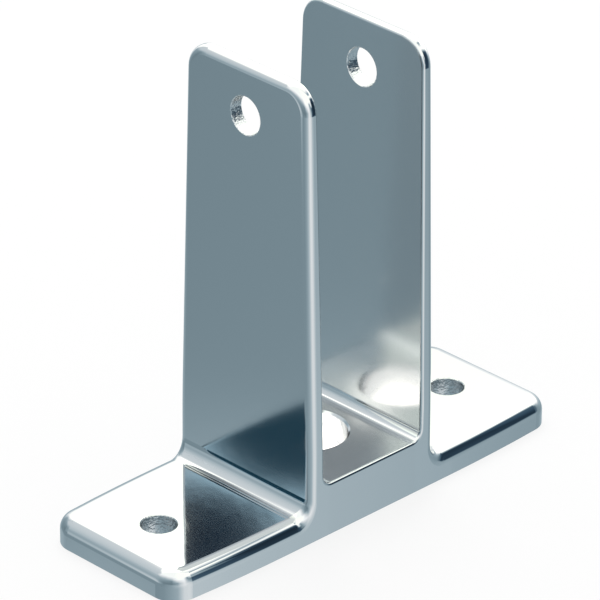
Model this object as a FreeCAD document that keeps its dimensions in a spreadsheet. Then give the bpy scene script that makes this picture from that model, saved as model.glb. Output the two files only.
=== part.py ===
# Wall bracket for a partition panel: one zinc die casting, chrome plated.
#
# A base plate screws flat to the wall. Two upright ears stand on it and take the edge of the
# panel in the slot between them, and one bolt goes through both ears and the panel.
#
# Frame: origin at the centre of the base's underside, X along the base, Y across it and Z up
# through the ears. Lengths are millimetres, angles degrees.

import FreeCAD, Part
import math
import os

import Sketcher

NODE = "bracket_casting"

doc = FreeCAD.newDocument("WallBracket")


# Driving dimensions

SIZES = [
    ("plate_length", 100.4, "base, end to end"),
    ("plate_width", 35.3, "base across its straight middle"),
    ("plate_thickness", 5.6, "flange under the screw heads"),
    ("straight_margin", 2.0, "parallel sides of the base go on past each ear's root"),
    ("side_bow_radius", 360.0, "long curve that narrows each flange to its end"),
    ("plate_corner_radius", 5.0, "plan corners of the base"),
    ("slot_width", 25.6, "panel slot at its floor"),
    ("slot_flare", 0.75, "each slot wall leans back by this up to the top"),
    ("floor_rise", 5.2, "slot floor above the flanges"),
    ("ear_thickness", 3.45, "ear at the slot floor"),
    ("ear_height", 91.7, "underside of the base to the top of the ears"),
    ("ear_inset", 1.9, "top of each ear's side behind the side of the base"),
    ("ear_corner_radius", 5.4, "top corners of the ears"),
    ("side_margin", 0.5, "ear's side stays upright this far past the slot root"),
    ("side_blend_radius", 300.0, "curve from the upright side to the leaning one"),
    ("ear_edge_radius", 1.6, "outer edges of the ears"),
    ("rim_radius", 2.8, "upper rim of the flanges"),
    ("inner_edge_radius", 0.6, "edges of the panel slot"),
    ("root_radius", 3.2, "foot of each ear on its flange"),
    ("slot_root_radius", 2.2, "foot of each ear on the slot floor"),
    ("screw_inset", 12.1, "wall screws from the ends of the base"),
    ("screw_hole", 6.8, "wall screw hole"),
    ("bolt_hole", 7.5, "panel bolt hole through both ears"),
    ("bolt_drop", 10.0, "panel bolt below the top of the ears"),
    ("floor_hole", 15.8, "round hole in the middle of the slot floor"),
    ("floor_hole_edge", 0.4, "bevel round its upper edge"),
    ("hole_edge", 0.15, "bevel round the screw and bolt holes"),
]

sheet = doc.addObject("Spreadsheet::Sheet", "Sizes")
for row, (alias, value, note) in enumerate(SIZES, start=1):
    sheet.set(f"A{row}", alias)
    sheet.set(f"B{row}", str(value))
    sheet.set(f"C{row}", note)
    sheet.setAlias(f"B{row}", alias)
doc.recompute()

TOUCH = 1e-4    # points and edges closer than this are taken as meeting
NEAR = 0.01     # margin when a face or edge is found by its place
LEAST_WALL = 0.1    # flat left between two roundings on top of an ear


def size(alias):
    return float(sheet.get(alias))


# Body and small helpers for its sketches

body = doc.addObject("PartDesign::Body", "BracketCasting")
body.Label = "casting_before_outer_rounding"
doc.recompute()


def origin_plane(role):
    for item in body.Origin.OriginFeatures:
        if item.Role == role:
            return item
    raise RuntimeError(f"no {role} in {body.Label}")


def new_sketch(name, role):
    sketch = body.newObject("Sketcher::SketchObject", name)
    sketch.AttachmentSupport = (origin_plane(role), "")
    sketch.MapMode = "FlatFace"
    return sketch


def point(x, y):
    return FreeCAD.Vector(x, y, 0)


def add_line(sketch, start, end):
    return sketch.addGeometry(Part.LineSegment(start, end), False)


def add_arc(sketch, centre, radius, start_angle, end_angle):
    circle = Part.Circle(centre, FreeCAD.Vector(0, 0, 1), radius)
    return sketch.addGeometry(Part.ArcOfCircle(circle, start_angle, end_angle), False)


def constrain(sketch, *args):
    return sketch.addConstraint(Sketcher.Constraint(*args))


def drive(sketch, kind, *args, formula):
    """Add a dimension and bind it to the sheet."""
    index = sketch.addConstraint(Sketcher.Constraint(kind, *args))
    sketch.setExpression(f"Constraints[{index}]", formula)
    return index


def circle_sketch(name, role, diameter, centres):
    """Circles of one diameter; each centre is (x, y, formula of x, formula of y)."""
    sketch = new_sketch(name, role)
    for x, y, x_formula, y_formula in centres:
        circle = sketch.addGeometry(
            Part.Circle(point(x, y), FreeCAD.Vector(0, 0, 1), size(diameter) / 2), False)
        drive(sketch, "Diameter", circle, size(diameter), formula=f"Sizes.{diameter}")
        if x_formula is None:
            constrain(sketch, "PointOnObject", circle, 3, -2)
        else:
            drive(sketch, "DistanceX", -1, 1, circle, 3, x, formula=x_formula)
        if y_formula is None:
            constrain(sketch, "PointOnObject", circle, 3, -1)
        else:
            drive(sketch, "DistanceY", -1, 1, circle, 3, y, formula=y_formula)
    return sketch


# Base plate: parallel sides in the middle, then a long bow to each rounded end

half_length = size("plate_length") / 2
half_width = size("plate_width") / 2
outer_x = size("slot_width") / 2 + size("ear_thickness")
half_straight = outer_x + size("root_radius") + size("straight_margin")
bow = size("side_bow_radius")
corner = size("plate_corner_radius")

# The corner circle touches the end line and the inside of the bow.
bow_centre_y = half_width - bow
corner_x = half_length - corner
corner_y = bow_centre_y + math.sqrt((bow - corner) ** 2 - (corner_x - half_straight) ** 2)
bow_angle = math.atan2(corner_y - bow_centre_y, corner_x - half_straight)

plan = new_sketch("PlateOutline", "XY_Plane")
edges = []
for turn in (0, 1):
    way = 1 if turn == 0 else -1
    half_turn = math.pi * turn
    edges.append(add_line(plan, point(-way * half_straight, way * half_width),
                          point(way * half_straight, way * half_width)))
    edges.append(add_arc(plan, point(way * half_straight, way * bow_centre_y), bow,
                         bow_angle + half_turn, math.pi / 2 + half_turn))
    edges.append(add_arc(plan, point(way * corner_x, way * corner_y), corner,
                         half_turn, bow_angle + half_turn))
    edges.append(add_line(plan, point(way * half_length, way * corner_y),
                          point(way * half_length, -way * corner_y)))
    edges.append(add_arc(plan, point(way * corner_x, -way * corner_y), corner,
                         2 * math.pi - bow_angle + half_turn, 2 * math.pi + half_turn))
    edges.append(add_arc(plan, point(way * half_straight, -way * bow_centre_y), bow,
                         -math.pi / 2 + half_turn, -bow_angle + half_turn))

# Lines run clockwise round the outline, arcs are drawn anticlockwise, so their ends swap.
first = [1, 2, 2, 1, 2, 2] * 2
last = [2, 1, 1, 2, 1, 1] * 2
for index, edge in enumerate(edges):
    after = (index + 1) % len(edges)
    constrain(plan, "Tangent", edge, last[index], edges[after], first[after])
for copy in (edges[5], edges[7], edges[11]):
    constrain(plan, "Equal", edges[1], copy)
for copy in (edges[4], edges[8], edges[10]):
    constrain(plan, "Equal", edges[2], copy)
constrain(plan, "Symmetric", edges[0], 1, edges[0], 2, -2)
constrain(plan, "Symmetric", edges[6], 1, edges[6], 2, -2)
constrain(plan, "Symmetric", edges[0], 1, edges[6], 2, -1)
constrain(plan, "Vertical", edges[3])
constrain(plan, "Vertical", edges[9])
drive(plan, "DistanceX", edges[0], 1, edges[0], 2, 2 * half_straight,
      formula="Sizes.slot_width + 2 * (Sizes.ear_thickness + Sizes.root_radius"
              " + Sizes.straight_margin)")
drive(plan, "DistanceY", edges[6], 1, edges[0], 2, 2 * half_width,
      formula="Sizes.plate_width")
drive(plan, "Radius", edges[1], bow, formula="Sizes.side_bow_radius")
drive(plan, "Radius", edges[2], corner, formula="Sizes.plate_corner_radius")
drive(plan, "DistanceX", -1, 1, edges[3], 1, half_length, formula="Sizes.plate_length / 2")
drive(plan, "DistanceX", edges[9], 1, -1, 1, half_length, formula="Sizes.plate_length / 2")

plate = body.newObject("PartDesign::Pad", "Plate")
plate.Profile = plan
plate.setExpression("Length", "Sizes.plate_thickness")
doc.recompute()


# Ears: one tapered block over the whole span, opened by the slot afterwards

height = size("ear_height")
floor_z = size("plate_thickness") + size("floor_rise")
top_half = half_width - size("ear_inset")
ear_corner = size("ear_corner_radius")
blend = size("side_blend_radius")
side_start = floor_z + size("slot_root_radius") + size("side_margin")


def lean_from_width(target):
    """Angle of the leaning side that gives the wanted width under the top corners."""
    low, high = 0.0, 0.2
    for _ in range(60):
        angle = (low + high) / 2
        foot_y = half_width - blend * (1 - math.cos(angle))
        foot_z = side_start + blend * math.sin(angle)
        tangent_z = height - ear_corner * (1 - math.sin(angle))
        if foot_y - (tangent_z - foot_z) * math.tan(angle) > target:
            low = angle
        else:
            high = angle
    return angle


lean = lean_from_width(top_half)
foot_y = half_width - blend * (1 - math.cos(lean))
foot_z = side_start + blend * math.sin(lean)
corner_z = height - ear_corner
shoulder_z = corner_z + ear_corner * math.sin(lean)
corner_y = top_half - ear_corner * math.cos(lean)

ear = new_sketch("EarOutline", "YZ_Plane")
base_line = add_line(ear, point(-half_width, 0), point(half_width, 0))
right_side = add_line(ear, point(half_width, 0), point(half_width, side_start))
right_blend = add_arc(ear, point(half_width - blend, side_start), blend, 0, lean)
right_lean = add_line(ear, point(foot_y, foot_z), point(top_half, shoulder_z))
right_corner = add_arc(ear, point(corner_y, corner_z), ear_corner, lean, math.pi / 2)
top_line = add_line(ear, point(corner_y, height), point(-corner_y, height))
left_corner = add_arc(ear, point(-corner_y, corner_z), ear_corner, math.pi / 2, math.pi - lean)
left_lean = add_line(ear, point(-top_half, shoulder_z), point(-foot_y, foot_z))
left_blend = add_arc(ear, point(blend - half_width, side_start), blend, math.pi - lean, math.pi)
left_side = add_line(ear, point(-half_width, side_start), point(-half_width, 0))

constrain(ear, "Coincident", base_line, 2, right_side, 1)
chain = [right_side, right_blend, right_lean, right_corner, top_line,
         left_corner, left_lean, left_blend, left_side]
for edge, after in zip(chain, chain[1:]):
    constrain(ear, "Tangent", edge, 2, after, 1)
constrain(ear, "Coincident", left_side, 2, base_line, 1)
constrain(ear, "Vertical", right_side)
constrain(ear, "Vertical", left_side)
constrain(ear, "Symmetric", base_line, 1, base_line, 2, -2)
constrain(ear, "PointOnObject", base_line, 1, -1)
constrain(ear, "Horizontal", top_line)
constrain(ear, "Equal", right_blend, left_blend)
constrain(ear, "Equal", right_corner, left_corner)
constrain(ear, "Horizontal", right_side, 2, left_side, 1)
constrain(ear, "Horizontal", right_lean, 2, left_lean, 1)
drive(ear, "DistanceX", base_line, 1, base_line, 2, 2 * half_width,
      formula="Sizes.plate_width")
drive(ear, "DistanceY", -1, 1, right_side, 2, side_start,
      formula="Sizes.plate_thickness + Sizes.floor_rise + Sizes.slot_root_radius"
              " + Sizes.side_margin")
drive(ear, "Radius", right_blend, blend, formula="Sizes.side_blend_radius")
drive(ear, "Radius", right_corner, ear_corner, formula="Sizes.ear_corner_radius")
drive(ear, "DistanceY", -1, 1, top_line, 1, height, formula="Sizes.ear_height")
drive(ear, "DistanceX", left_lean, 1, right_lean, 2, 2 * top_half,
      formula="Sizes.plate_width - 2 * Sizes.ear_inset")

ears = body.newObject("PartDesign::Pad", "Ears")
ears.Profile = ear
ears.SideType = "Symmetric"
ears.setExpression("Length", "Sizes.slot_width + 2 * Sizes.ear_thickness")
doc.recompute()


# Panel slot: widens from its floor to its mouth

floor_half = size("slot_width") / 2
mouth_half = floor_half + size("slot_flare")
slot = new_sketch("SlotOutline", "XZ_Plane")
slot_floor = add_line(slot, point(-floor_half, floor_z), point(floor_half, floor_z))
slot_right = add_line(slot, point(floor_half, floor_z), point(mouth_half, height))
slot_mouth = add_line(slot, point(mouth_half, height), point(-mouth_half, height))
slot_left = add_line(slot, point(-mouth_half, height), point(-floor_half, floor_z))
loop = [slot_floor, slot_right, slot_mouth, slot_left]
for edge, after in zip(loop, loop[1:] + loop[:1]):
    constrain(slot, "Coincident", edge, 2, after, 1)
constrain(slot, "Symmetric", slot_floor, 1, slot_floor, 2, -2)
constrain(slot, "Symmetric", slot_mouth, 1, slot_mouth, 2, -2)
drive(slot, "DistanceX", slot_floor, 1, slot_floor, 2, 2 * floor_half,
      formula="Sizes.slot_width")
drive(slot, "DistanceX", slot_mouth, 2, slot_mouth, 1, 2 * mouth_half,
      formula="Sizes.slot_width + 2 * Sizes.slot_flare")
drive(slot, "DistanceY", -1, 1, slot_floor, 1, floor_z,
      formula="Sizes.plate_thickness + Sizes.floor_rise")
drive(slot, "DistanceY", -1, 1, slot_mouth, 1, height, formula="Sizes.ear_height")


def pocket_through(name, profile, base):
    """Cut the profile right through the base, both ways from its plane."""
    pocket = body.newObject("PartDesign::Pocket", name)
    pocket.Profile = profile
    pocket.SideType = "Symmetric"
    pocket.Type = "ThroughAll"
    doc.recompute()
    removed = base.Shape.Volume - pocket.Shape.Volume
    print(name, "removed", round(removed, 1), "mm3")
    if removed < 1:
        raise RuntimeError(f"{name} cuts nothing")
    return pocket


cut = pocket_through("PanelSlot", slot, ears)


# Rounded feet of the ears


def straight_across(shape, x, z):
    """Names of the edges that run along Y at one x (either side) and z."""
    names = []
    for number, edge in enumerate(shape.Edges, start=1):
        box = edge.BoundBox
        level = abs(box.ZMin - z) < TOUCH and abs(box.ZMax - z) < TOUCH
        beside = abs(abs(box.XMin) - x) < TOUCH and box.XLength < TOUCH
        if level and beside and box.YLength > 1:
            names.append(f"Edge{number}")
    return names


roots = body.newObject("PartDesign::Fillet", "EarRoots")
roots.Base = (cut, straight_across(cut.Shape, outer_x, size("plate_thickness")))
roots.setExpression("Radius", "Sizes.root_radius")
doc.recompute()

slot_roots = body.newObject("PartDesign::Fillet", "SlotRoots")
slot_roots.Base = (roots, straight_across(roots.Shape, floor_half, floor_z))
slot_roots.setExpression("Radius", "Sizes.slot_root_radius")
doc.recompute()


# Softened edges of the slot: a closed loop on each side of the bracket, down one ear, over
# the floor and up the other


def is_slot_wall(face):
    """True for the slot's floor, its leaning walls and its two rounded roots."""
    box = face.BoundBox
    between = box.XMin > -mouth_half - NEAR and box.XMax < mouth_half + NEAR
    return between and box.ZMin > floor_z - NEAR and box.YLength > top_half


def slot_rim(shape):
    """Names of the edges where the slot's walls and floor meet anything else."""
    names = []
    for number, edge in enumerate(shape.Edges, start=1):
        walls = [face for face in shape.ancestorsOfType(edge, Part.Face) if is_slot_wall(face)]
        if len(walls) == 1:
            names.append(f"Edge{number}")
    return names


slot_edges = body.newObject("PartDesign::Fillet", "SlotEdges")
slot_edges.Base = (slot_roots, slot_rim(slot_roots.Shape))
slot_edges.setExpression("Radius", "Sizes.inner_edge_radius")
doc.recompute()


# Holes: two wall screws, one panel bolt through both ears, one large hole in the floor

screw_x = half_length - size("screw_inset")
bolt_z = height - size("bolt_drop")
screw_holes = pocket_through(
    "ScrewHoles",
    circle_sketch("ScrewCircles", "XY_Plane", "screw_hole", [
        (screw_x, 0, "Sizes.plate_length / 2 - Sizes.screw_inset", None),
        (-screw_x, 0, "Sizes.screw_inset - Sizes.plate_length / 2", None)]),
    slot_edges)
bolt_holes = pocket_through(
    "BoltHoles",
    circle_sketch("BoltCircle", "YZ_Plane", "bolt_hole", [
        (0, bolt_z, None, "Sizes.ear_height - Sizes.bolt_drop")]),
    screw_holes)
floor_hole = pocket_through(
    "FloorHole",
    circle_sketch("FloorCircle", "XY_Plane", "floor_hole", [(0, 0, None, None)]),
    bolt_holes)


def hole_rims(shape, diameter, keep):
    """Names of the closed edges round a hole whose middle passes the test."""
    names = []
    girth = math.pi * size(diameter)
    for number, edge in enumerate(shape.Edges, start=1):
        if abs(edge.Length - girth) < 0.01 * girth and edge.isClosed() and keep(edge.CenterOfMass):
            names.append(f"Edge{number}")
    return names


floor_edge = body.newObject("PartDesign::Chamfer", "FloorHoleEdge")
floor_edge.Base = (floor_hole, hole_rims(
    floor_hole.Shape, "floor_hole", lambda middle: middle.z > floor_z - NEAR))
floor_edge.setExpression("Size", "Sizes.floor_hole_edge")
doc.recompute()

# The screw holes stay sharp where they meet the wall.
above = size("plate_thickness") - NEAR
hole_edges = body.newObject("PartDesign::Chamfer", "HoleEdges")
hole_edges.Base = (floor_edge, hole_rims(
    floor_edge.Shape, "screw_hole", lambda middle: middle.z > above) + hole_rims(
    floor_edge.Shape, "bolt_hole", lambda middle: middle.z > above))
hole_edges.setExpression("Size", "Sizes.hole_edge")
doc.recompute()


# Outer rounding of the casting. On each half one closed line of edges goes up the ear, over
# its top, down the other side, round the curved foot and along the whole flange. The rounding
# is narrow on the ear, wide on the flange, and grows along the foot.

plate_z = size("plate_thickness")
root = size("root_radius")
top_wall = outer_x - mouth_half
narrow = min(size("ear_edge_radius"), top_wall - size("inner_edge_radius") - LEAST_WALL)
wide = size("rim_radius")


def outer_line(shape, way):
    """The loop on one half: (edge number, part of the casting) for each of its edges."""
    found = []
    for number, edge in enumerate(shape.Edges, start=1):
        box = edge.BoundBox
        middle = edge.CenterOfMass
        if middle.x * way < outer_x - NEAR:
            continue
        upright = box.XLength < TOUCH and abs(middle.x * way - outer_x) < TOUCH
        level = box.ZLength < TOUCH
        foot = edge.Curve.TypeId == "Part::GeomCircle" and abs(edge.Curve.Radius - root) < TOUCH
        if foot and box.YLength < TOUCH:
            found.append((number, "foot"))
        elif upright and middle.z > plate_z + root and not edge.isClosed():
            across_foot = level and middle.z < plate_z + root + NEAR
            if not across_foot:
                found.append((number, "ear"))
        elif level and abs(middle.z - plate_z) < TOUCH and not edge.isClosed():
            across_root = abs(middle.x * way - outer_x - root) < TOUCH and box.XLength < TOUCH
            if not across_root:
                found.append((number, "flange"))
    return found


def radii_round(shape, line):
    """Walk the loop from its first edge and give each edge its radius at both ends."""
    left = dict(line)
    number = min(left)
    ends = []
    here = shape.Edges[number - 1].Vertexes[0].Point
    while left:
        edge = shape.Edges[number - 1]
        tips = [edge.Vertexes[0].Point, edge.Vertexes[-1].Point]
        if tips[0].distanceToPoint(here) > TOUCH:
            tips.reverse()
        place = left.pop(number)
        if place == "ear":
            ends.append((number, narrow, narrow))
        elif place == "flange":
            ends.append((number, wide, wide))
        elif tips[0].z > tips[1].z:
            ends.append((number, narrow, wide))
        else:
            ends.append((number, wide, narrow))
        here = tips[1]
        following = [other for other in left if touches(shape.Edges[other - 1], here)]
        if left and not following:
            raise RuntimeError("the outer line of edges is broken")
        number = following[0] if following else number
    return ends


def touches(edge, place):
    return any(vertex.Point.distanceToPoint(place) < TOUCH for vertex in edge.Vertexes)


casting = doc.addObject("Part::Fillet", "OuterRounding")
casting.Base = hole_edges
cast_shape = hole_edges.Shape
casting.Edges = [row for way in (-1, 1)
                 for row in radii_round(cast_shape, outer_line(cast_shape, way))]
casting.Label = NODE
casting.Placement = FreeCAD.Placement()
doc.recompute()


# Checks and output

for item in doc.Objects:
    if "Invalid" in item.State or "Error" in item.State:
        raise RuntimeError(f"{item.Label} failed: {item.State}")
shape = casting.Shape
if shape.isNull() or not shape.isValid() or len(shape.Solids) != 1:
    raise RuntimeError("the casting is not one valid solid")
if not casting.Edges or shape.Volume >= cast_shape.Volume:
    raise RuntimeError("the outer rounding took nothing away")

box = shape.optimalBoundingBox(True, False)
print("size", round(box.XLength, 2), round(box.YLength, 2), round(box.ZLength, 2))
print("volume", round(shape.Volume), "mm3, faces", len(shape.Faces))

os.makedirs("parts", exist_ok=True)
shape.exportStep(f"parts/{NODE}.step")
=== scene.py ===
import math

import bpy
from mathutils import Matrix, Vector

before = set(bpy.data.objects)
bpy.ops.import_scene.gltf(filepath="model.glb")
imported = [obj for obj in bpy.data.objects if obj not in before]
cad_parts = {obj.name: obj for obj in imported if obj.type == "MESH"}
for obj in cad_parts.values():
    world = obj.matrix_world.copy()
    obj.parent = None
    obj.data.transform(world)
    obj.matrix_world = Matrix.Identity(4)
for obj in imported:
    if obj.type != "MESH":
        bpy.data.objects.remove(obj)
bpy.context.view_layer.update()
scene = bpy.context.scene
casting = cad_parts["bracket_casting"]
print("frame loaded")


# camera

cameraView = {
    "azimuth": -44.841,      # degrees, 0 looks along +Y
    "elevation": 27.746,
    "roll": 0.479,
    "distance": 0.98587,
    "target": (-0.00196, 0.0, 0.03904),
    "lens": 319.13,          # mm
    "sensor": 36,            # mm across
    "clip": (0.05, 20),      # metres, near and far
}


def backVector(azimuth, elevation):
    turn, rise = math.radians(azimuth), math.radians(elevation)
    return Vector((math.sin(turn) * math.cos(rise), -math.cos(turn) * math.cos(rise), math.sin(rise)))


def makeCamera(view):
    data = bpy.data.cameras.new("photoCamera")
    data.sensor_width = view["sensor"]
    data.lens = view["lens"]
    data.clip_start, data.clip_end = view["clip"]
    camera = bpy.data.objects.new("photoCamera", data)
    scene.collection.objects.link(camera)
    back = backVector(view["azimuth"], view["elevation"])
    upright = (-back).to_track_quat("-Z", "Y").to_matrix()
    rolled = upright @ Matrix.Rotation(math.radians(view["roll"]), 3, "Z")
    camera.rotation_mode = "QUATERNION"
    camera.rotation_quaternion = rolled.to_quaternion()
    camera.location = Vector(view["target"]) + back * view["distance"]
    scene.camera = camera


makeCamera(cameraView)
print("camera placed")


# shader helpers

def newMaterial(name):
    material = bpy.data.materials.new(name)
    material.use_nodes = True
    material.node_tree.nodes.clear()
    return material, material.node_tree


def connect(tree, value, socket):    # the value is a node's output, a plain number or a colour
    if isinstance(value, bpy.types.NodeSocket):
        tree.links.new(value, socket)
    elif value is not None:
        socket.default_value = value


def addNode(tree, kind, settings=None, **inputs):
    node = tree.nodes.new(kind)
    for name, value in (settings or {}).items():
        setattr(node, name, value)
    for name, value in inputs.items():
        connect(tree, value, node.inputs[name.replace("_", " ")])
    return node


def mathNode(tree, operation, first, second=None, clamp=False):
    node = addNode(tree, "ShaderNodeMath", {"operation": operation, "use_clamp": clamp})
    connect(tree, first, node.inputs[0])
    connect(tree, second, node.inputs[1])
    return node.outputs[0]


def times(tree, first, second):
    return mathNode(tree, "MULTIPLY", first, second)


def vectorNode(tree, operation, first, second=None, output="Vector"):
    node = addNode(tree, "ShaderNodeVectorMath", {"operation": operation})
    connect(tree, first, node.inputs[0])
    connect(tree, second, node.inputs[1])
    return node.outputs[output]


def splitVector(tree, vector):
    node = addNode(tree, "ShaderNodeSeparateXYZ", Vector=vector)
    return [node.outputs[axis] for axis in "XYZ"]


def rangeNode(tree, value, low, high, newLow=0.0, newHigh=1.0, smooth=True):
    node = addNode(tree, "ShaderNodeMapRange", {"interpolation_type": "SMOOTHSTEP" if smooth else "LINEAR"})
    for place, item in enumerate((value, low, high, newLow, newHigh)):
        connect(tree, item, node.inputs[place])
    return node.outputs[0]


def mixColor(tree, factor, first, second):
    node = addNode(tree, "ShaderNodeMix", {"data_type": "RGBA"})
    connect(tree, factor, node.inputs["Factor"])
    connect(tree, first, node.inputs[6])      # 6 and 7 are its two colours
    connect(tree, second, node.inputs[7])
    return node.outputs[2]


def mixShaders(tree, factor, first, second):
    node = tree.nodes.new("ShaderNodeMixShader")
    for place, item in enumerate((factor, first, second)):
        tree.links.new(item, node.inputs[place])
    return node.outputs[0]


def glow(tree, color, strength=1.0):
    return addNode(tree, "ShaderNodeEmission", Color=color, Strength=strength).outputs[0]


def toOutput(tree, shader, kind="ShaderNodeOutputMaterial"):
    addNode(tree, kind, Surface=shader)


# chrome finish

chromeFinish = {
    "color": (0.62, 0.645, 0.66, 1),
    "flangeRoughness": 0.05,
    "outerEarRoughness": 0.12,
    "slotEarRoughness": 0.16,
    "slotFloorRoughness": 0.15,
    "boreRoughness": 0.2,
    # bump layers: size in waves a metre, height in metres
    "buffing": {"size": 260.0, "detail": 1.0, "height": 0.000007},     # soft waves left by the wheel
    "grain": {"size": 2600.0, "detail": 2.0, "height": 0.0000012},     # fine polishing lines on the ears
    "grainStretch": (1.0, 1.0, 0.06),                                  # the lines run along the height
    "castSkin": {"size": 1900.0, "detail": 2.0, "height": 0.00017},    # inside the holes
}

# where one finish gives way to the next, in metres on the casting
finishPlaces = {
    "earFacing": (0.9, 0.98),        # not metres: how far a surface faces along X
    "earFoot": (0.0085, 0.011),      # heights
    "earMiddle": (0.0138, 0.015),    # from the slot side to the outer side
    "floorSide": (0.0122, 0.011),    # the slot floor ends at the ears
    "floorTop": (0.0125, 0.0112),    # and below this height
    "boltHeight": 0.0817,
    "boltRadius": 0.00395,
    "screwPlace": 0.0381,
    "screwRadius": 0.0036,
}


def nearAxis(tree, first, second, radius):    # 1 inside a round hole
    plane = addNode(tree, "ShaderNodeCombineXYZ", X=first, Y=second)
    return mathNode(tree, "LESS_THAN", vectorNode(tree, "LENGTH", plane.outputs[0], output="Value"), radius)


def bumpLayer(tree, place, layer, mask=None, below=None):
    noise = addNode(tree, "ShaderNodeTexNoise", Vector=place, Scale=layer["size"], Detail=layer["detail"])
    rise = noise.outputs["Fac"]
    if mask is not None:
        rise = times(tree, rise, mask)
    bump = addNode(tree, "ShaderNodeBump", Height=rise, Strength=1.0, Distance=layer["height"], Normal=below)
    return bump.outputs["Normal"]


def chromeMaterial(finish, places):
    material, tree = newMaterial("chromePlate")
    surface = addNode(tree, "ShaderNodeTexCoord")
    place = surface.outputs["Object"]
    x, y, z = splitVector(tree, place)
    acrossX = mathNode(tree, "ABSOLUTE", x)
    facing = mathNode(tree, "ABSOLUTE", splitVector(tree, surface.outputs["Normal"])[0])

    earMask = times(tree, rangeNode(tree, facing, *places["earFacing"]),
                    rangeNode(tree, z, *places["earFoot"]))
    floorMask = times(tree, rangeNode(tree, acrossX, *places["floorSide"]),
                      rangeNode(tree, z, *places["floorTop"]))
    fromBolt = mathNode(tree, "SUBTRACT", z, places["boltHeight"])
    fromScrew = mathNode(tree, "SUBTRACT", acrossX, places["screwPlace"])
    boreMask = mathNode(tree, "MAXIMUM", nearAxis(tree, y, fromBolt, places["boltRadius"]),
                        nearAxis(tree, fromScrew, y, places["screwRadius"]))

    earRoughness = rangeNode(tree, acrossX, *places["earMiddle"],
                             finish["slotEarRoughness"], finish["outerEarRoughness"])
    roughness = rangeNode(tree, earMask, 0, 1, finish["flangeRoughness"], earRoughness, False)
    for mask, value in ((floorMask, finish["slotFloorRoughness"]), (boreMask, finish["boreRoughness"])):
        roughness = mathNode(tree, "MAXIMUM", roughness, times(tree, mask, value))

    normal = bumpLayer(tree, place, finish["buffing"])
    stretched = vectorNode(tree, "MULTIPLY", place, finish["grainStretch"])
    normal = bumpLayer(tree, stretched, finish["grain"], earMask, normal)
    normal = bumpLayer(tree, place, finish["castSkin"], boreMask, normal)

    shader = addNode(tree, "ShaderNodeBsdfPrincipled", Base_Color=finish["color"], Metallic=1.0,
                     Roughness=roughness, Normal=normal)
    toOutput(tree, shader.outputs[0])
    return material


def dressCasting():
    chrome = chromeMaterial(chromeFinish, finishPlaces)
    if not casting.material_slots:
        casting.data.materials.append(None)
    for slot in casting.material_slots:
        slot.material = chrome


dressCasting()
print("chrome on the casting")


# pale floor and soft light

floorLook = {
    "size": 6.0,
    "color": (0.92, 0.92, 0.92, 1),
    "white": (1, 1, 1, 1),
    "ownWhite": 0.8,          # share of the floor that stays white whatever falls on it
    "height": -0.0001,
}

squareCorners = ((-1, -1), (1, -1), (1, 1), (-1, 1))


def addFlat(name, points):    # one flat face through all the points
    mesh = bpy.data.meshes.new(name)
    mesh.from_pydata(points, [], [tuple(range(len(points)))])
    obj = bpy.data.objects.new(name, mesh)
    scene.collection.objects.link(obj)
    return obj


def seenItself(tree):    # 1 where the camera sees it, also in metal and through glass
    path = addNode(tree, "ShaderNodeLightPath")
    seen = mathNode(tree, "ADD", path.outputs["Is Camera Ray"], path.outputs["Is Glossy Ray"], True)
    return mathNode(tree, "ADD", seen, path.outputs["Is Transmission Ray"], True)


def makeFloor(look):
    half = look["size"] / 2
    floor = addFlat("paleFloor", [(half * a, half * b, look["height"]) for a, b in squareCorners])
    material, tree = newMaterial("paleFloor")
    diffuse = addNode(tree, "ShaderNodeBsdfDiffuse", Color=look["color"])
    share = times(tree, seenItself(tree), look["ownWhite"])
    toOutput(tree, mixShaders(tree, share, diffuse.outputs[0], glow(tree, look["white"])))
    floor.data.materials.append(material)
    floor.visible_glossy = False


makeFloor(floorLook)

roomLook = {
    "color": (1, 1, 1, 1),
    "onBracket": 0.75,        # light level that falls on the bracket
    "seen": 1.0,              # level of the backdrop
}


def makeWorld(look):
    world = bpy.data.worlds.new("paleRoom")
    scene.world = world
    world.use_nodes = True
    tree = world.node_tree
    tree.nodes.clear()
    strength = rangeNode(tree, seenItself(tree), 0, 1, look["onBracket"], look["seen"], False)
    background = addNode(tree, "ShaderNodeBackground", Color=look["color"], Strength=strength)
    toOutput(tree, background.outputs[0], "ShaderNodeOutputWorld")


makeWorld(roomLook)

softBox = {
    "place": (0.25, 0.35, 0.9),
    "size": 0.7,
    "power": 4.0,
}


def makeSoftBox(box):
    data = bpy.data.lights.new("softBox", "AREA")
    data.shape = "SQUARE"
    data.size = box["size"]
    data.energy = box["power"]
    lamp = bpy.data.objects.new("softBox", data)
    scene.collection.objects.link(lamp)
    lamp.location = box["place"]
    lamp.rotation_mode = "QUATERNION"
    lamp.rotation_quaternion = (-Vector(box["place"])).to_track_quat("-Z", "Y")
    lamp.visible_glossy = False
    lamp.visible_camera = False


makeSoftBox(softBox)
print("floor and light made")


# what the chrome reflects: a light tent of panels round the bracket

tentLook = {
    "radius": 0.3,
    "segments": 96,
    "centre": (0.0, 0.0, 0.04),
    "brightest": 3.0,
    "deepTint": (0.5, 0.97, 1.5, 1),
    "shadeTint": (0.69, 0.97, 1.11, 1),
    "lightTint": (1.0, 1.0, 1.0, 1),
    "glowTint": (1.0, 1.0, 0.9, 1),
    "deepToShade": (0.02, 0.1),      # shares of the brightest level, between which the tint changes
    "shadeToLight": (0.045, 0.42),
    "lightToGlow": (0.45, 0.56),
}

# light level up a panel: (elevation in degrees, level) from the foot upwards
backPanel = [(-30, 0.55), (-20, 0.5), (-12, 0.45), (15, 0.55), (25, 1.2), (43, 1.5), (50, 1.8)]
backRightPanel = [(-30, 0.52), (-14, 0.52), (-8, 0.6), (6, 0.7), (13, 1.5), (23, 1.65), (30, 2.3), (50, 3.0)]

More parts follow.
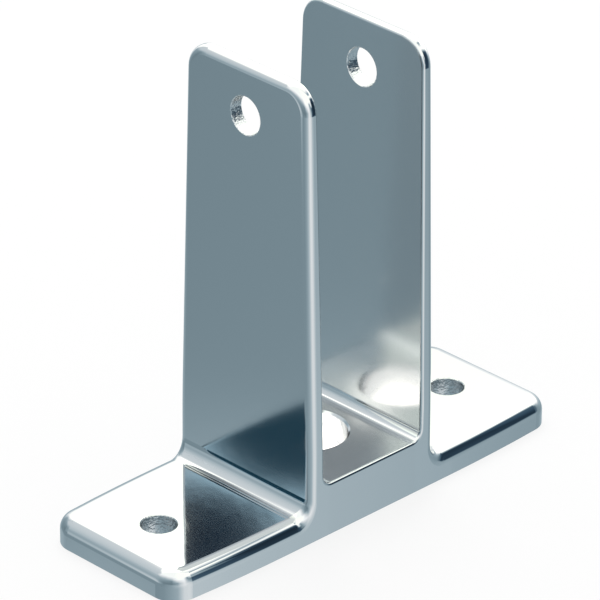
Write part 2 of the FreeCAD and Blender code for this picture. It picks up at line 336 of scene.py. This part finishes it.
# the panels in turn: azimuth in degrees, then the levels
tentPanels = [
    (-180, backPanel),
    (-171, [(-30, 0.55), (-20, 0.4), (0, 0.4), (15, 0.55), (27, 0.8), (47, 0.97), (53, 1.8)]),
    (-160, [(-30, 0.55), (-20, 0.35), (0, 0.4), (15, 0.5), (24, 0.9), (35, 0.92), (46, 0.97), (52, 1.8)]),
    (-140, [(-35, 0.52), (-29, 0.38), (-14, 0.36), (-8, 0.3), (10, 0.4), (21, 0.8), (28, 0.88),
            (44, 0.95), (50, 1.8)]),
    (-130, [(-35, 0.58), (-30, 0.4), (-14, 0.37), (-9, 0.6), (4, 0.55), (14, 0.75), (26, 0.85),
            (40, 0.9), (46, 1.8)]),
    (-120, [(-30, 0.4), (-19, 0.4), (-13, 0.95), (0, 0.57), (18, 0.65), (26, 1.1), (38, 1.5)]),
    (-90, [(-30, 0.42), (-15, 0.37), (-5, 0.32), (10, 0.45), (25, 0.7), (45, 1.5)]),
    (-60, [(-30, 0.52), (-14, 0.52), (-5, 0.3), (15, 0.4), (25, 0.8), (45, 1.5)]),
    (-40, [(-30, 0.6), (-18, 0.75), (0, 0.5), (15, 1.0), (30, 1.6)]),
    (-15, [(-30, 1.0), (-15, 1.2), (0, 1.2), (30, 1.6)]),
    (8, [(-30, 1.05), (-12, 1.0), (0, 0.7), (22, 0.35), (30, 0.4), (37, 1.6)]),
    (22, [(-30, 0.85), (-15, 0.75), (-9, 0.12), (14, 0.12), (22, 1.2), (30, 1.6)]),
    (30, [(-30, 0.75), (-15, 0.68), (-9, 0.05), (25, 0.04), (30, 0.2), (35, 1.6)]),
    (37, [(-30, 0.7), (-14, 0.58), (-8, 0.05), (25, 0.03), (36, 0.1), (39, 1.7)]),
    (43, [(-32, 0.65), (-20, 0.52), (-13, 0.5), (-7, 0.08), (24, 0.05), (37, 0.1), (42, 1.6),
          (45, 1.8), (48, 0.3), (54, 0.8)]),
    (50, [(-32, 0.55), (-14, 0.5), (-8, 0.05), (24, 0.05), (33, 0.12), (38, 0.8), (44, 1.6),
          (49, 0.4), (56, 1.6)]),
    (62, [(-30, 0.45), (-12, 0.42), (0, 0.3), (28, 0.14), (33, 1.4), (42, 2.5), (47, 1.5),
          (51, 0.4), (57, 1.6)]),
    (75, [(-30, 0.45), (-14, 0.42), (0, 0.5), (15, 0.8), (26, 2.0), (45, 2.5), (52, 0.5), (58, 1.8)]),
    (95, [(-30, 0.55), (-18, 0.45), (0, 0.8), (12, 2.5), (45, 3.0)]),
    (120, [(-30, 0.52), (-20, 0.55), (-12, 0.9), (4, 1.3), (20, 1.7), (32, 2.4), (50, 3.0)]),
    (130, backRightPanel),
    (150, backRightPanel),
    (168, [(-30, 0.52), (-14, 0.52), (-5, 0.9), (10, 1.3), (30, 2.0), (50, 3.0)]),
    (180, backPanel),
]


def onlyReflected(obj):    # nothing but reflections sees it
    for ray in ("camera", "diffuse", "transmission", "volume_scatter", "shadow"):
        setattr(obj, "visible_" + ray, False)


def panelRamp(tree, height, stops, brightest):
    ramp = tree.nodes.new("ShaderNodeValToRGB")
    tree.links.new(height, ramp.inputs[0])
    elements = ramp.color_ramp.elements
    while len(elements) < len(stops):
        elements.new(0.5)
    for element, (elevation, level) in zip(elements, stops):
        element.position = (elevation + 90) / 180
        share = level / brightest
        element.color = (share, share, share, 1)
    return ramp.outputs[0]


def tentMaterial(look, panels):
    material, tree = newMaterial("lightTent")
    place = addNode(tree, "ShaderNodeTexCoord").outputs["Object"]
    x, y, z = splitVector(tree, vectorNode(tree, "NORMALIZE", place))
    turned = mathNode(tree, "ARCTAN2", x, times(tree, y, -1.0))
    azimuth = times(tree, turned, 180 / math.pi)
    height = mathNode(tree, "DIVIDE", mathNode(tree, "ARCSINE", z), math.pi)
    height = mathNode(tree, "ADD", height, 0.5)      # 0 straight down, 1 straight up

    level = panelRamp(tree, height, panels[0][1], look["brightest"])
    for (before, _), (turn, stops) in zip(panels, panels[1:]):
        nextLevel = panelRamp(tree, height, stops, look["brightest"])
        level = mixColor(tree, rangeNode(tree, azimuth, before, turn, smooth=False), level, nextLevel)

    tint = look["deepTint"]
    for limits, nextTint in (("deepToShade", "shadeTint"), ("shadeToLight", "lightTint"),
                             ("lightToGlow", "glowTint")):
        tint = mixColor(tree, rangeNode(tree, level, *look[limits]), tint, look[nextTint])
    toOutput(tree, glow(tree, vectorNode(tree, "MULTIPLY", level, tint), look["brightest"]))
    return material


def makeTent(look, panels):
    bpy.ops.mesh.primitive_uv_sphere_add(segments=look["segments"], ring_count=look["segments"] // 2,
                                         radius=look["radius"], location=look["centre"])
    tent = bpy.context.object
    tent.name = "lightTent"
    onlyReflected(tent)
    tent.data.materials.append(tentMaterial(look, panels))
    for polygon in tent.data.polygons:
        polygon.use_smooth = True


makeTent(tentLook, tentPanels)


# small cards inside the tent, which act only where chrome is seen in chrome: painted reflections, the dark
# cards painted shade and the bright cards painted highlights

cardPlacing = {
    "outward": (-0.624, 0.6276, 0.4656),    # the way from the bracket to the cards
    "leastBounces": 1.5,                    # so from the second bounce on
    "roundEdge": 0.86,                      # share of a round card's radius where it starts to fade
}

# each card: its place and size in metres, then its colour
# a card with a rim is round, and "core" gives the shares of its radius where it turns to the rim's colour
# the others are rectangles, and "edge" is the share of their half width that fades
nearCards = {
    # the two dark cards below: painted shade, dark patches with bluish rims in the ear and flange where each
    # mirrors the other
    "earShade": {"side": -0.025, "up": -0.011, "distance": 0.085, "width": 0.062, "height": 0.041,
                 "color": (0.02, 0.08, 0.125, 1), "rim": (0.64, 0.9, 1.04, 1), "core": (0.55, 0.86)},
    "flangeShade": {"side": 0.001, "up": 0.0165, "distance": 0.170, "width": 0.052, "height": 0.031,
                    "color": (0.0, 0.015, 0.04, 1), "rim": (0.64, 0.9, 1.04, 1), "core": (0.54, 0.82)},
    # painted reflection: a grey patch seen only where chrome mirrors chrome
    "floorGreyReflection": {"side": 0.013, "up": 0.028, "distance": 0.100, "width": 0.022, "height": 0.028,
                  "color": (0.42, 0.44, 0.46, 1), "edge": 0.25},
    # the two bright cards below: painted highlights, glowing patches in the slot seen only where chrome
    # mirrors chrome
    "slotGlow": {"side": 0.011, "up": 0.014, "distance": 0.105, "width": 0.020, "height": 0.018,
                 "color": (2.0, 2.0, 1.8, 1), "edge": 0.8},
    "slotWhiteHighlight": {"side": 0.0045, "up": 0.0130, "distance": 0.030, "width": 0.0115, "height": 0.0125,
                  "color": (2.4, 2.3, 2.1, 1), "edge": 0.45},
}


def cardMesh(name, card, placing):
    outward = Vector(placing["outward"]).normalized()
    sideways = outward.cross(Vector((0, 0, 1))).normalized()
    upward = sideways.cross(outward)
    middle = outward * card["distance"] + sideways * card["side"] + upward * card["up"]
    halfWide, halfHigh = card["width"] / 2, card["height"] / 2
    obj = addFlat(name, [middle + sideways * halfWide * a + upward * halfHigh * b for a, b in squareCorners])
    layer = obj.data.uv_layers.new(name="cardMap")
    for loop, corner in zip(layer.data, squareCorners):
        loop.uv = corner
    return obj


def makeNearCard(name, card, placing):
    obj = cardMesh(name, card, placing)
    onlyReflected(obj)
    material, tree = newMaterial(name)
    uv = addNode(tree, "ShaderNodeUVMap", {"uv_map": "cardMap"}).outputs[0]
    color = card["color"]
    if "rim" in card:
        away = vectorNode(tree, "LENGTH", uv, output="Value")
        cover = rangeNode(tree, away, 1.0, placing["roundEdge"])
        color = mixColor(tree, rangeNode(tree, away, *card["core"]), color, card["rim"])
    else:
        soft = 1 - card["edge"]
        wide, high, _ = splitVector(tree, uv)
        cover = times(tree, rangeNode(tree, mathNode(tree, "ABSOLUTE", wide), 1.0, soft),
                      rangeNode(tree, mathNode(tree, "ABSOLUTE", high), 1.0, soft))
    bounces = addNode(tree, "ShaderNodeLightPath").outputs["Glossy Depth"]
    cover = times(tree, cover, mathNode(tree, "GREATER_THAN", bounces, placing["leastBounces"]))
    behind = addNode(tree, "ShaderNodeNewGeometry").outputs["Backfacing"]
    cover = times(tree, cover, mathNode(tree, "SUBTRACT", 1.0, behind))    # lit on the bracket's side only
    clear = addNode(tree, "ShaderNodeBsdfTransparent")
    toOutput(tree, mixShaders(tree, cover, clear.outputs[0], glow(tree, color)))
    obj.data.materials.append(material)


for cardName, cardValues in nearCards.items():
    makeNearCard(cardName, cardValues, cardPlacing)


# bright glowing disc under the floor hole, mirrored in the hole's wall and seen nowhere else: a painted
# highlight in the hole

glowUnderHole = {
    "radius": 0.0079,
    "level": -0.0005,
    "segments": 48,
    "strength": 3.6,
    "color": (1.0, 0.91, 0.83, 1),
}


# makes the glowing disc: a painted highlight seen only in reflections
def makeGlowUnderHole(glowDisc):
    angles = [2 * math.pi * step / glowDisc["segments"] for step in range(glowDisc["segments"])]
    radius, level = glowDisc["radius"], glowDisc["level"]
    obj = addFlat("holeGlowDisc", [(radius * math.cos(a), radius * math.sin(a), level) for a in angles])
    onlyReflected(obj)
    material, tree = newMaterial("holeGlowDisc")
    toOutput(tree, glow(tree, glowDisc["color"], glowDisc["strength"]))
    obj.data.materials.append(material)


makeGlowUnderHole(glowUnderHole)
print("tent and cards made")


# settings

scene.view_settings.view_transform = "Standard"
